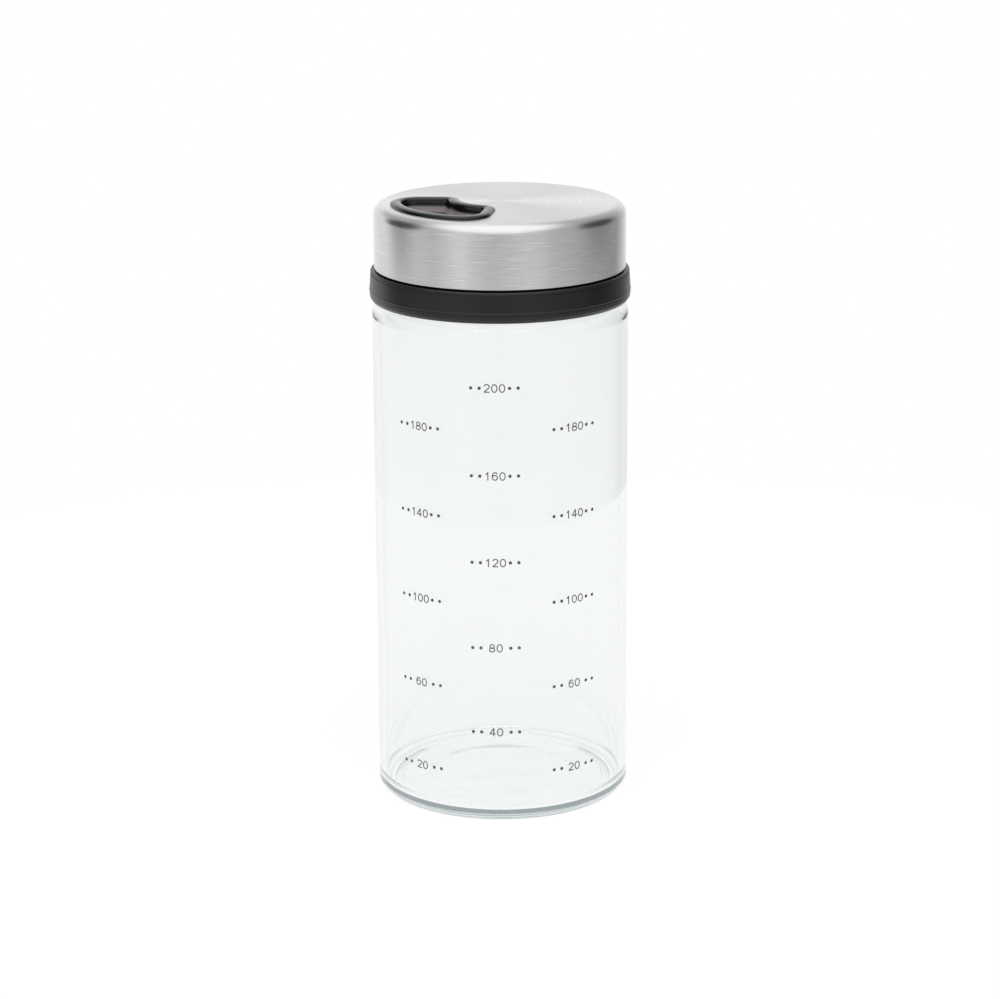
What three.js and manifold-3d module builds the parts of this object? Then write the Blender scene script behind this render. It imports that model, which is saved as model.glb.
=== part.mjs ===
// A seasoning jar: a graduated glass jar, a black screw cap that carries a shaker disc,
// and a brushed steel cover whose window turns to one of the disc's four stations.
// Millimetres, +Z up. The origin is the centre of the ring that the jar stands on.

import * as THREE from 'three';
import { mergeVertices } from 'three/addons/utils/BufferGeometryUtils.js';
import Module from 'manifold-3d';

// Glass jar
const bodyRadius = 27.5;
const bodyHeight = 111.6;
const glassWall = 1.5;
const floorThickness = 1.9;
const floorCrown = 0.3;
const heelRadius = 2.2;
const innerHeelRadius = 2.4;
const footRingWidth = 1.1;
const pushUpDepth = 0.6;
const shoulderWidth = 4.9;
const shoulderGlass = 0.8;
const innerShoulderRise = 7.3;
const neckHeight = 10.9;
const neckWall = 2;
const rimRounding = 0.5;

// Thread, shared by the neck and the screw cap
const threadStarts = 3;
const threadLead = 9;
const threadDepth = 1;
const threadRootWidth = 1.4;
const threadCrestWidth = 1;
const threadRise = 2.6;
const threadBury = 0.4;
const neckThreadTurnShare = 0.55;
const capThreadTurnShare = 0.4;
const capThreadLeadInShare = 0.06;

// Clearances
const fitGap = 0.3;
const runningGap = 0.35;
const threadGap = 0.4;
const shoulderGap = 0.5;
const overrun = 1;

// Screw cap, its gasket and the grip band round its flange
const capWall = 1;
const capFlangeThickness = 2;
const ledgeThickness = 1.5;
const boreChamfer = 0.3;
const gasketThickness = 1.2;
const gasketInset = 0.2;
const bandProud = 0.55;
const bandWallInset = 0.7;
const bandDrop = 2.4;
const bandLipThickness = 2.1;
const bandHeelWidth = 0.6;
const bandHeelHeight = 1.4;
const bandRidge = 0.08;
const bandRidgeWidth = 0.3;
const bandRidgeHeight = 2.15;
const bandDraft = 0.3;
const bandTopChamfer = 0.4;

// Shaker disc and its four stations
const discThickness = 1.7;
const discPlugDepth = 1.3;
const discStep = 0.3;
const stationRadius = 15.7;
const pourOuterRadius = 19.3;
const pourInnerRadius = 12.1;
const pourSideInset = 3.6;
const pourFillet = 1.2;
const coarseHoleRadius = 1;
const fineHoleRadius = 0.5;
const coarseHolePitch = 2.6;
const fineHolePitch = 1.55;

// Pivot that holds the cover on the disc
const pivotRadius = 2.2;
const pivotHeadRadius = 4.5;
const pivotHeadThickness = 1.2;
const pivotChamfer = 0.3;
const hubWall = 1.7;
const hubPadHeight = 0.5;
const hubPadRoof = 0.5;

// Cover: the steel shell and the liner pressed into it
const steelThickness = 0.5;
const steelEdgeRadius = 2.5;
const steelCrown = 0.2;
const steelHemWidth = 0.6;
const steelHemHeight = 0.4;
const linerWall = 0.75;
const linerPlateThickness = 1.4;
const linerChamfer = 1.85;

// Window and its bezel
const windowMidAngle = 216.7;
const windowHalfAngle = 43;
const windowInset = 4.65;
const windowInnerRadius = 9.7;
const windowOuterFillet = 4.6;
const windowInnerFillet = 2.5;
const rimHalfWidth = 1.2;
const rimStraight = 0.3;
const rimCrown = 0.45;
const bezelWall = 1;
const bezelLipWidth = 0.5;
const bezelLipThickness = 0.5;
const ledgeDrop = 1;
const funnelDrop = 0.65;
const funnelThickness = 0.9;
const spoutWall = 0.7;

// Facet counts
const roundSteps = 48;
const smallRoundSteps = 24;
const cornerSteps = 4;
const domeSteps = 3;
const bezelSideSteps = 4;

// Heights above the base
const neckTop = bodyHeight + neckHeight;
const capFoot = bodyHeight + shoulderGap;
const flangeTop = capFlangeThickness;
const ledgeFoot = neckTop + gasketThickness - capFoot;
const ledgeTop = ledgeFoot + ledgeThickness;
const bandFoot = -bandDrop;
const bandTop = flangeTop + bandLipThickness;
const discFace = ledgeTop + discThickness;

// Heights above the disc's face, in the cover's own frame
const bezelFoot = runningGap;
const linerFoot = bezelFoot + bezelLipThickness + fitGap;
const linerTop = linerFoot + linerPlateThickness;
const steelUnderside = linerTop + runningGap;
const steelEdgeTop = steelUnderside + steelThickness;
const steelFoot = bandTop + fitGap - discFace;

// Radii, from the neck outwards
const neckRadius = bodyRadius - shoulderWidth;
const neckBore = neckRadius - neckWall;
const threadCrest = neckRadius + threadDepth;
const capBore = threadCrest + threadGap;
const capRadius = capBore + capWall;
const ledgeBore = neckBore - gasketInset;
const linerBore = capRadius + runningGap;
const linerRadius = linerBore + linerWall;
const steelBore = linerRadius + runningGap;
const steelRadius = steelBore + steelThickness;
const bandRadius = bodyRadius + bandProud;
const bandBore = bodyRadius - bandWallInset;
const flangeRadius = bandBore - fitGap;
const discRadius = capRadius - discStep;
const plugRadius = ledgeBore - fitGap;
const hubHoleRadius = pivotRadius + fitGap;
const windowOuterRadius = steelRadius - windowInset;

const looks = {
  glass: { color: '#f2f6f7', roughness: 0.03, metalness: 0, transparent: true, opacity: 0.35 },
  steel: { color: '#c9c7c6', roughness: 0.32, metalness: 1 },
  glossBlack: { color: '#17181b', roughness: 0.16, metalness: 0 },
  satinBlack: { color: '#26272a', roughness: 0.5, metalness: 0 },
  silicone: { color: '#d9dad8', roughness: 0.6, metalness: 0 },
};

const wasm = await Module();
wasm.setup();

// Merges shared corners and drops the empty triangles that a lathe leaves on its axis
function weld(geometry) {
  const bare = geometry.clone();
  bare.deleteAttribute('normal');
  bare.deleteAttribute('uv');
  const merged = mergeVertices(bare);
  const kept = [];
  const corners = merged.index.array;
  for (let i = 0; i < corners.length; i += 3) {
    const [a, b, c] = corners.slice(i, i + 3);
    if (a !== b && b !== c && c !== a) kept.push(a, b, c);
  }
  merged.setIndex(kept);
  return merged;
}

function toSolid(geometry) {
  const welded = weld(geometry);
  const vertProperties = Float32Array.from(welded.attributes.position.array);
  const triVerts = Uint32Array.from(welded.index.array);
  return new wasm.Manifold(new wasm.Mesh({ numProp: 3, vertProperties, triVerts }));
}

function toGeometry(solid) {
  const mesh = solid.getMesh();
  const geometry = new THREE.BufferGeometry();
  geometry.setAttribute('position', new THREE.BufferAttribute(mesh.vertProperties, 3));
  geometry.setIndex(new THREE.BufferAttribute(mesh.triVerts, 1));
  geometry.computeVertexNormals();
  return geometry;
}

function cut(body, tools) {
  return tools.reduce((solid, tool) => solid.subtract(toSolid(tool)), toSolid(body));
}

function join(body, additions) {
  return additions.reduce((solid, addition) => solid.add(toSolid(addition)), toSolid(body));
}

// Turns a profile of [radius, height] points about Z; the outer wall runs upwards
function turned(profile, steps = roundSteps) {
  const points = profile.map(([radius, height]) => new THREE.Vector2(radius, height));
  return weld(new THREE.LatheGeometry(points, steps).rotateX(Math.PI / 2));
}

function turnedRing(profile, steps = roundSteps) {
  return turned([...profile, profile[0]], steps);
}

// Points on an ellipse's arc, both ends included, in degrees
function arc([centreRadius, centreHeight], across, up, from, to, steps = cornerSteps) {
  const points = [];
  for (let i = 0; i <= steps; i += 1) {
    const angle = THREE.MathUtils.degToRad(from + ((to - from) * i) / steps);
    points.push([centreRadius + across * Math.cos(angle), centreHeight + up * Math.sin(angle)]);
  }
  return points;
}

// A closed tube of loops: each loop has as many points as the next, the last joins the first
function loopedGeometry(loops) {
  const count = loops[0].length;
  const index = [];
  loops.forEach((loop, row) => {
    const here = row * count;
    const above = ((row + 1) % loops.length) * count;
    for (let i = 0; i < count; i += 1) {
      const next = (i + 1) % count;
      index.push(here + i, here + next, above + next, here + i, above + next, above + i);
    }
  });
  const geometry = new THREE.BufferGeometry();
  geometry.setAttribute('position', new THREE.Float32BufferAttribute(loops.flat(2), 3));
  geometry.setIndex(index);
  geometry.computeVertexNormals();
  return geometry;
}

// A round hole's tool, standing on the plane z = foot
function drill(radius, x, y, foot, height, steps) {
  return new THREE.CylinderGeometry(radius, radius, height, steps)
    .rotateX(Math.PI / 2)
    .translate(x, y, foot + height / 2);
}

// One start of a thread: a tapered ridge that climbs the lead and fades into its wall at both ends
function threadRidge({ wallRadius, crestRadius, startHeight, startAngle, turnShare }) {
  const into = Math.sign(wallRadius - crestRadius);
  const buried = wallRadius + into * threadBury;
  const steps = Math.round(turnShare * roundSteps);
  const position = [];
  for (let i = 0; i <= steps; i += 1) {
    const turn = (turnShare * i) / steps;
    const angle = startAngle + turn * 2 * Math.PI;
    const height = startHeight + turn * threadLead;
    const fade = Math.min(1, (i + 1) / (cornerSteps + 1), (steps - i + 1) / (cornerSteps + 1));
    const crest = buried + (crestRadius - buried) * fade;
    const section = [
      [buried, height - threadRootWidth / 2],
      [crest, height - threadCrestWidth / 2],
      [crest, height + threadCrestWidth / 2],
      [buried, height + threadRootWidth / 2],
    ];
    section.forEach(([radius, z]) => position.push(radius * Math.cos(angle), radius * Math.sin(angle), z));
  }
  return ridgeGeometry(position, steps, into < 0);
}

// Skins a run of four-point sections, with flat ends
function ridgeGeometry(position, steps, outward) {
  const index = [];
  const quad = (a, b, c, d) => (outward ? index.push(a, b, c, a, c, d) : index.push(a, c, b, a, d, c));
  for (let i = 0; i < steps; i += 1) {
    const here = i * 4;
    const next = here + 4;
    for (let side = 0; side < 4; side += 1) {
      const other = (side + 1) % 4;
      quad(here + side, next + side, next + other, here + other);
    }
  }
  const last = steps * 4;
  quad(0, 1, 2, 3);
  quad(last + 3, last + 2, last + 1, last);
  const geometry = new THREE.BufferGeometry();
  geometry.setAttribute('position', new THREE.Float32BufferAttribute(position, 3));
  geometry.setIndex(index);
  geometry.computeVertexNormals();
  return geometry;
}

function threadRidges(ridge) {
  return Array.from({ length: threadStarts }, (_, start) => {
    const startAngle = ((start / threadStarts) + ridge.leadInShare) * 2 * Math.PI;
    const startHeight = ridge.foot + ridge.leadInShare * threadLead;
    return threadRidge({ ...ridge, startAngle, startHeight });
  });
}

function glassJar() {
  const footRadius = bodyRadius - heelRadius;
  const footBore = footRadius - footRingWidth;
  const bodyBore = bodyRadius - glassWall;
  const boreTop = bodyHeight - shoulderGlass;
  const innerHeel = [bodyBore - innerHeelRadius, floorThickness + innerHeelRadius];
  const innerShoulder = [neckBore, boreTop - innerShoulderRise];
  const blank = turned([
    [0, pushUpDepth],
    [footBore - pushUpDepth, pushUpDepth],
    [footBore, 0],
    ...arc([footRadius, heelRadius], heelRadius, heelRadius, -90, 0),
    ...arc([neckRadius, bodyHeight - shoulderWidth], shoulderWidth, shoulderWidth, 0, 90, cornerSteps + 1),
    ...arc([neckRadius - rimRounding, neckTop - rimRounding], rimRounding, rimRounding, 0, 90, 2),
    ...arc([neckBore + rimRounding, neckTop - rimRounding], rimRounding, rimRounding, 90, 180, 2),
    ...arc(innerShoulder, bodyBore - neckBore, innerShoulderRise, 90, 0, cornerSteps + 1),
    ...arc(innerHeel, innerHeelRadius, innerHeelRadius, 0, -90),
    [0, floorThickness + floorCrown],
  ]);
  const ridges = threadRidges({
    wallRadius: neckRadius,
    crestRadius: threadCrest,
    foot: bodyHeight + threadRise,
    leadInShare: 0,
    turnShare: neckThreadTurnShare,
  });
  return toGeometry(join(blank, ridges));
}

function neckGasket() {
  const outer = capBore - threadGap;
  const bore = neckBore + gasketInset;
  return turnedRing([[bore, 0], [outer, 0], [outer, gasketThickness], [bore, gasketThickness]]);
}

function screwCap() {
  const blank = turnedRing([
    [capBore + boreChamfer, 0],
    [flangeRadius, 0],
    [flangeRadius, flangeTop],
    [capRadius, flangeTop],
    [capRadius, ledgeTop],
    [ledgeBore, ledgeTop],
    [ledgeBore, ledgeFoot],
    [capBore, ledgeFoot],
    [capBore, boreChamfer],
  ]);
  const halfPitch = threadLead / threadStarts / 2;
  const ridges = threadRidges({
    wallRadius: capBore,
    crestRadius: neckRadius + runningGap,
    foot: bodyHeight + threadRise - halfPitch - capFoot,
    leadInShare: capThreadLeadInShare,
    turnShare: capThreadTurnShare,
  });
  return toGeometry(join(blank, ridges));
}

// The lip's underside rests on the flange; the wall hangs down past the glass shoulder.
// A fine ridge runs above the heel, and the wall narrows a little towards the top.
function gripBand() {
  const face = bandRadius - bandRidge;
  const ridge = bandFoot + bandRidgeHeight;
  const topFace = bandRadius - bandDraft;
  return turnedRing([
    [bandBore, bandFoot],
    [bandRadius - bandHeelWidth, bandFoot],
    [face - bandRidge, bandFoot + bandHeelHeight / 2],
    [face, bandFoot + bandHeelHeight],
    [face, ridge - bandRidgeWidth / 2],
    [bandRadius, ridge],
    [face, ridge + bandRidgeWidth / 2],
    [topFace, bandTop - bandTopChamfer],
    [topFace - bandTopChamfer, bandTop],
    [capRadius + threadGap, bandTop],
    [capRadius + threadGap, flangeTop],
    [bandBore, flangeTop],
  ]);
}

// Places of a round patch of holes: one in the middle and rings of six, twelve and so on
function patch(pitch, rings) {
  const places = [[0, 0]];
  for (let ring = 1; ring <= rings; ring += 1) {
    for (let i = 0; i < 6 * ring; i += 1) {
      const angle = (2 * Math.PI * i) / (6 * ring);
      places.push([pitch * ring * Math.cos(angle), pitch * ring * Math.sin(angle)]);
    }
  }
  return places;
}

// The stations are a quarter turn apart: pouring opening, coarse holes, fine holes and closed
function shakerDisc() {
  const depth = discPlugDepth + discThickness;
  const blank = turned([
    [0, 0],
    [plugRadius, 0],
    [plugRadius, discPlugDepth],
    [discRadius, discPlugDepth],
    [discRadius, depth],
    [0, depth],
  ]);
  const stationDrills = (quarter, radius, places, steps) => places.map(([x, y]) => (
    drill(radius, stationRadius + x, y, -overrun, depth + 2 * overrun, steps)
      .rotateZ((quarter * Math.PI) / 2)
  ));
  return toGeometry(cut(blank, [
    drill(hubHoleRadius, 0, 0, -overrun, depth + 2 * overrun, smallRoundSteps),
    sectorTool(pourOutline(0, 1), -overrun, depth + overrun),
    ...stationDrills(1, coarseHoleRadius, patch(coarseHolePitch, 1), smallRoundSteps / 2),
    ...stationDrills(2, fineHoleRadius, patch(fineHolePitch, 2), smallRoundSteps / 3),
  ]));
}

function pivotPin() {
  const shank = runningGap + discPlugDepth + discThickness + linerTop + hubPadHeight - hubPadRoof - fitGap;
  const top = pivotHeadThickness + shank;
  return turned([
    [0, 0],
    [pivotHeadRadius - pivotChamfer, 0],
    [pivotHeadRadius, pivotChamfer],
    [pivotHeadRadius, pivotHeadThickness],
    [pivotRadius, pivotHeadThickness],
    [pivotRadius, top - pivotChamfer],
    [pivotRadius - pivotChamfer, top],
    [0, top],
  ], smallRoundSteps);
}

function steelTopAt(radius) {
  const edge = steelRadius - steelEdgeRadius;
  return steelEdgeTop + steelCrown * (1 - (radius / edge) ** 2);
}

// A rounded sector with its middle along +X. Its sides run a distance outside the rays at
// the window's half angle.
function sectorOutline({ outer, inner, outside, outerFillet, innerFillet, sideSteps }) {
  const half = THREE.MathUtils.degToRad(windowHalfAngle);
  const corner = (reach, fillet) => {
    const aside = outside - fillet;
    const along = Math.sqrt(reach ** 2 - aside ** 2);
    return [
      along * Math.cos(half) - aside * Math.sin(half),
      along * Math.sin(half) + aside * Math.cos(half),
    ];
  };
  const degrees = ([x, y]) => THREE.MathUtils.radToDeg(Math.atan2(y, x));
  const outerCorner = corner(outer - outerFillet, outerFillet);
  const innerCorner = corner(inner + innerFillet, innerFillet);
  const square = windowHalfAngle + 90;
  const outerRound = arc(outerCorner, outerFillet, outerFillet, degrees(outerCorner), square);
  const innerRound = arc(innerCorner, innerFillet, innerFillet, square, degrees(innerCorner) + 180);
  const sideStart = outerRound[outerRound.length - 1];
  const side = Array.from({ length: sideSteps - 1 }, (_, i) => (
    sideStart.map((place, axis) => place + ((innerRound[0][axis] - place) * (i + 1)) / sideSteps)
  ));
  const upper = [
    ...arc([0, 0], outer, outer, 0, degrees(outerCorner), cornerSteps + 1),
    ...outerRound.slice(1),
    ...side,
    ...innerRound,
    ...arc([0, 0], inner, inner, degrees(innerCorner), 0, domeSteps).slice(1),
  ];
  const lower = upper.slice(1, -1).reverse().map(([x, y]) => [x, -y]);
  return [...upper, ...lower];
}

// The window's outline, grown outwards all round by a distance
function windowOutline(grow, sideSteps) {
  return sectorOutline({
    outer: windowOuterRadius + grow,
    inner: windowInnerRadius - grow,
    outside: grow,
    outerFillet: windowOuterFillet + grow,
    innerFillet: windowInnerFillet + grow,
    sideSteps,
  });
}

// The outline of the pouring opening inside the window, grown in the same way
function pourOutline(grow, sideSteps) {
  return sectorOutline({
    outer: pourOuterRadius + grow,
    inner: pourInnerRadius - grow,
    outside: grow - pourSideInset,
    outerFillet: pourFillet + grow,
    innerFillet: pourFillet + grow,
    sideSteps,
  });
}

function sectorTool(outline, foot, top) {
  const shape = new THREE.Shape(outline.map(([x, y]) => new THREE.Vector2(x, y)));
  return new THREE.ExtrudeGeometry(shape, { depth: top - foot, bevelEnabled: false, steps: 1 })
    .translate(0, 0, foot);
}

// Domed profile points from one radius to another, a set drop below the steel's outer face
function domePoints(from, to, drop) {
  return Array.from({ length: domeSteps + 1 }, (_, i) => {
    const radius = from + ((to - from) * i) / domeSteps;
    return [radius, steelTopAt(radius) - drop];
  });
}

function steelCover() {
  const edge = steelRadius - steelEdgeRadius;
  const innerEdgeRadius = steelEdgeRadius - steelThickness;
  const edgeHeight = steelEdgeTop - steelEdgeRadius;
  const hemTop = steelFoot + steelHemHeight;
  const blank = turned([
    [0, steelTopAt(0) - steelThickness],
    ...domePoints(0, edge, steelThickness).slice(1, -1),
    ...arc([edge, edgeHeight], innerEdgeRadius, innerEdgeRadius, 90, 0),
    [steelBore, hemTop],
    [steelBore - steelHemWidth, hemTop],
    [steelBore - steelHemWidth, steelFoot],
    [steelRadius, steelFoot],
    ...arc([edge, edgeHeight], steelEdgeRadius, steelEdgeRadius, 0, 90),
    ...domePoints(edge, 0, 0).slice(1),
  ]);
  const window = sectorTool(windowOutline(0, 1), linerFoot, steelTopAt(0) + overrun);
  return toGeometry(cut(blank, [window]));
}

// A plate under the steel with a skirt inside its wall and a hub for the pivot
function coverLiner() {
  const hubRadius = hubHoleRadius + hubWall;
  const padTop = linerTop + hubPadHeight;
  const skirtFoot = steelFoot + steelHemHeight + fitGap;
  const blank = turned([
    [0, padTop - hubPadRoof],
    [hubHoleRadius, padTop - hubPadRoof],
    [hubHoleRadius, runningGap],
    [hubRadius, runningGap],
    [hubRadius, linerFoot],
    [linerBore, linerFoot],
    [linerBore, skirtFoot],
    [linerRadius, skirtFoot],
    [linerRadius, linerTop - linerChamfer],
    [linerRadius - linerChamfer, linerTop],
    [hubRadius + hubPadHeight, linerTop],
    [hubRadius, padTop],
    [0, padTop],
  ]);
  const window = sectorTool(windowOutline(0, 1), linerFoot - overrun, linerTop + overrun);
  return toGeometry(cut(blank, [window]));
}

// A raised rim over the steel's cut edge, a wall down through steel and liner with a lip
// that hooks under the liner, and a floor that slopes to the spout over the disc's station
function windowBezel() {
  const outline = (grow) => windowOutline(grow, bezelSideSteps);
  const onSteel = (grow, rise) => outline(grow).map(([x, y]) => [x, y, steelTopAt(Math.hypot(x, y)) + rise]);
  const level = (grow, height) => outline(grow).map(([x, y]) => [x, y, height]);
  const spout = (grow, height) => pourOutline(grow, bezelSideSteps).map(([x, y]) => [x, y, height]);
  const crest = arc([0, rimStraight], rimHalfWidth, rimCrown, 0, 180)
    .map(([grow, rise]) => onSteel(grow, rise));
  const spoutTop = steelTopAt(stationRadius) - ledgeDrop - funnelDrop;
  const outerFace = bezelWall - rimHalfWidth;
  return loopedGeometry([
    onSteel(rimHalfWidth, fitGap),
    ...crest,
    onSteel(-rimHalfWidth, -ledgeDrop),
    spout(0, spoutTop),
    spout(0, bezelFoot),
    spout(spoutWall, bezelFoot),
    spout(spoutWall, spoutTop - funnelThickness),
    onSteel(-rimHalfWidth, -ledgeDrop - funnelThickness),
    level(-rimHalfWidth, bezelFoot),
    level(bezelLipWidth, bezelFoot),
    level(bezelLipWidth, bezelFoot + bezelLipThickness),
    level(outerFace, bezelFoot + bezelLipThickness),
    onSteel(outerFace, fitGap),
  ]);
}

function piece(name, geometry, look) {
  const mesh = new THREE.Mesh(geometry, new THREE.MeshStandardMaterial(look));
  mesh.name = name;
  return mesh;
}

function raised(object, height) {
  object.position.z = height;
  return object;
}

const cover = new THREE.Group();
cover.add(piece('steel_cover', steelCover(), looks.steel));
cover.add(piece('cover_liner', coverLiner(), looks.glossBlack));
cover.add(piece('window_bezel', windowBezel(), looks.glossBlack));
const pivotFoot = -discThickness - discPlugDepth - runningGap - pivotHeadThickness;
cover.add(raised(piece('pivot_pin', pivotPin(), looks.glossBlack), pivotFoot));
cover.rotation.z = THREE.MathUtils.degToRad(windowMidAngle);

const disc = piece('shaker_disc', shakerDisc(), looks.glossBlack);
disc.rotation.z = cover.rotation.z;

const cap = new THREE.Group();
cap.add(piece('screw_cap', screwCap(), looks.satinBlack));
cap.add(piece('grip_band', gripBand(), looks.satinBlack));
cap.add(raised(disc, ledgeTop - discPlugDepth));
cap.add(raised(cover, discFace));

const seasoningJar = new THREE.Group();
seasoningJar.add(piece('glass_jar', glassJar(), looks.glass));
seasoningJar.add(raised(piece('neck_gasket', neckGasket(), looks.silicone), neckTop));
seasoningJar.add(raised(cap, capFoot));

export default seasoningJar;
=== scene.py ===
# A seasoning jar: clear pressed glass with a printed scale in millilitres, a black screw cap
# with its grip band, and a brushed steel cover with a black rimmed window that turns over a
# shaker disc. Lengths are in millimetres until a mesh is made; angles are in degrees.
# An azimuth is 0 towards the viewer (-Y) and grows to the viewer's right (+X).

import math

import bpy
import numpy as np
from mathutils import Matrix, Vector


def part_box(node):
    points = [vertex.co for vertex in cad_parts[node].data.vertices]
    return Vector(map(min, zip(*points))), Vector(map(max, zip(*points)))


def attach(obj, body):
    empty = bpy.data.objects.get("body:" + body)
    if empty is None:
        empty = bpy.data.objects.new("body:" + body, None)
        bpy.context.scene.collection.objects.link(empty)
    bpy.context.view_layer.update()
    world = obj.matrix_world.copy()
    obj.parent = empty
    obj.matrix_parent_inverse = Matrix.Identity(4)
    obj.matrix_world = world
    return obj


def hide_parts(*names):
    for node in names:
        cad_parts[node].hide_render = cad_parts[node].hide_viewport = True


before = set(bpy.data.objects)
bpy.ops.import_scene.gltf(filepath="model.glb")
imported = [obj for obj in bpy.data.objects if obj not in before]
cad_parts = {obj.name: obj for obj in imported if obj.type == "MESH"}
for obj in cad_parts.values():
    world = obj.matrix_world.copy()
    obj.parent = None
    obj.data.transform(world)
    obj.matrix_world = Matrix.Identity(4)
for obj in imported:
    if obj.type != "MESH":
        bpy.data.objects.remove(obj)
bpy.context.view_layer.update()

MM = 0.001
# Lengths in millimetres that differ by less are the same
TINY = 0.001


def span(node):
    """The lowest and highest corner of a CAD node, in millimetres."""
    low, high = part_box(node)
    return low / MM, high / MM


jar_low, jar_high = span("glass_jar")
seal_low, seal_high = span("neck_gasket")
cap_low, cap_high = span("screw_cap")
band_low, band_high = span("grip_band")
steel_low, steel_high = span("steel_cover")
bezel_low = span("window_bezel")[0]

# Glass jar
BODY_RADIUS = jar_high.x
BODY_HEIGHT = 111.6
GLASS_WALL = 1.5
FLOOR_THICKNESS = 1.9
FLOOR_CROWN = 0.3
HEEL_RADIUS = 2.2
INNER_HEEL_RADIUS = 2.4
HEEL_SEAM_ANGLES = (-64, -14)
HEEL_SEAM = 0.1
HEEL_SEAM_HALF_WIDTH = 4
FOOT_RING_WIDTH = 1.1
FOOT_RING_ROUNDING = 0.4
PUSH_UP_DEPTH = 0.6
PUSH_UP_SLOPE_WIDTH = 2.4
PUNT_RADIUS = 15
PUNT_RISE = 0.1
PUNT_SLOPE_WIDTH = 2
FLOOR_RIPPLE = 0.03
FLOOR_RIPPLE_LENGTH = 11
FLOOR_RIPPLE_SLANT_SHARE = 0.3
FLOOR_DRIFT_LENGTH = 25.3
FLOOR_DRIFT_SLANT_SHARE = 0.2
SHOULDER_WIDTH = 4.9
SHOULDER_END_ANGLE = 80
SHOULDER_GLASS = 0.8
INNER_SHOULDER_RISE = 7.3
INNER_SHOULDER_END_ANGLE = 85
NECK_WALL = 2
NECK_FOOT_ROUNDING = 0.8
RIM_ROUNDING = 0.6

# Thread of the neck and the cap
THREAD_STARTS = 3
THREAD_LEAD = 9
THREAD_DEPTH = 1
THREAD_HALF_WIDTH = 0.75
THREAD_FLANK = 0.4
THREAD_RISE = 2.6
THREAD_GAP = 0.4
NECK_THREAD_TURN_SHARE = 0.55
CAP_THREAD_TURN_SHARE = 0.4
CAP_THREAD_LEAD_IN_SHARE = 0.06
THREAD_FADE_SHARE = 0.06

# Screw cap, gasket and grip band
CAP_WALL = 1
FLANGE_THICKNESS = 2
LEDGE_THICKNESS = 1.5
GASKET_INSET = 0.2
GASKET_FACE_GAP = 0.02
GASKET_ROUNDING = 0.35
MOULD_EDGE = 0.2
BAND_WALL_INSET = 0.7
BAND_LIP_THICKNESS = 2.1
BAND_DRAFT = 0.3
BAND_EDGE_ROUNDING = 0.5
BAND_GROOVE_DROP = 0.66
BAND_GROOVE_HEIGHT = 0.24
BAND_GROOVE_DEPTH = 0.16
BAND_GROOVE_ROUNDING = 0.05
BAND_RIDGE = 0.08
BAND_RIDGE_WIDTH = 0.3
BAND_RIDGE_HEIGHT = 2.15
BAND_HEEL_WIDTH = 0.6
BAND_HEEL_HEIGHT = 1.4
BAND_HEEL_ROUNDING = 0.5

# Steel cover
STEEL_RADIUS = steel_high.x
STEEL_THICKNESS = 0.5
STEEL_EDGE_RADIUS = 2.5
STEEL_CROWN = 0.2
STEEL_HEM_WIDTH = 0.6
STEEL_HEM_ROUNDING = 0.22
STEEL_HEM_HEIGHT = 0.45

# Window and its bezel
WINDOW_AZIMUTH = -53.3
WINDOW_HALF_ANGLE = 43
WINDOW_INSET = 4.65
WINDOW_INNER_RADIUS = 9.7
WINDOW_OUTER_FILLET = 4.6
WINDOW_INNER_FILLET = 2.5
RIM_HALF_WIDTH = 1.2
RIM_STRAIGHT = 0.3
RIM_CROWN = 0.45
RIM_FOOT_GAP = 0.02
BEZEL_WALL = 1
BEZEL_LIP_WIDTH = 0.5
BEZEL_LIP_THICKNESS = 0.5
BEZEL_DRAFT = 0.12
LEDGE_DROP = 1
LEDGE_ROUNDING = 0.3
FUNNEL_DROP = 0.65
FUNNEL_THICKNESS = 0.9
STATION_RADIUS = 15.7
POUR_OUTER_RADIUS = 19.3
POUR_INNER_RADIUS = 12.1
POUR_SIDE_INSET = 3.6
POUR_FILLET = 1.2
SPOUT_WALL = 0.7
SPOUT_ROUNDING = 0.3

# Printed scale
MARK_COLUMNS = {"left": -39.1, "middle": -2.75, "right": 34.1}
MIDDLE_VOLUMES = (200, 160, 120, 80, 40)
SIDE_VOLUMES = (180, 140, 100, 60, 20)
VOLUME_STEP = 20
FIRST_MARK_HEIGHT = 11.0
MARK_STEP_HEIGHT = 9.45
DOT_AZIMUTHS = (-10.35, -6.6, 6.6, 10.35)
DOT_RADIUS = 0.36
DIGIT_HEIGHT = 1.62
DIGIT_WIDTH = 1.12
DIGIT_PITCH = 1.6
DIGIT_STROKE = 0.23
PRINT_GAP = 0.015
PRINT_THICKNESS = 0.04

# Fineness of the meshes
ROUND_STEPS = 256
CORNER_STEPS = 8
THREAD_ROW = 0.22
RIM_STEPS = 12
DOT_STEPS = 24
SHARP_ANGLE = 38


# Outlines

def unit(vector):
    return vector / np.linalg.norm(vector)


def fillet(before, corner, after, radius, steps=CORNER_STEPS):
    """The points of an arc that rounds a corner between its two neighbours."""
    before, corner, after = (np.array(point, float) for point in (before, corner, after))
    to_before = unit(before - corner)
    to_after = unit(after - corner)
    half = math.acos(np.clip(to_before @ to_after, -1, 1)) / 2
    centre = corner + unit(to_before + to_after) * radius / math.sin(half)
    start = corner + to_before * radius / math.tan(half) - centre
    end = corner + to_after * radius / math.tan(half) - centre
    turn = math.atan2(start[0] * end[1] - start[1] * end[0], start @ end)
    points = []
    for i in range(steps + 1):
        angle = turn * i / steps
        c, s = math.cos(angle), math.sin(angle)
        points.append(centre + np.array((c * start[0] - s * start[1], s * start[0] + c * start[1])))
    return points


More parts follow.
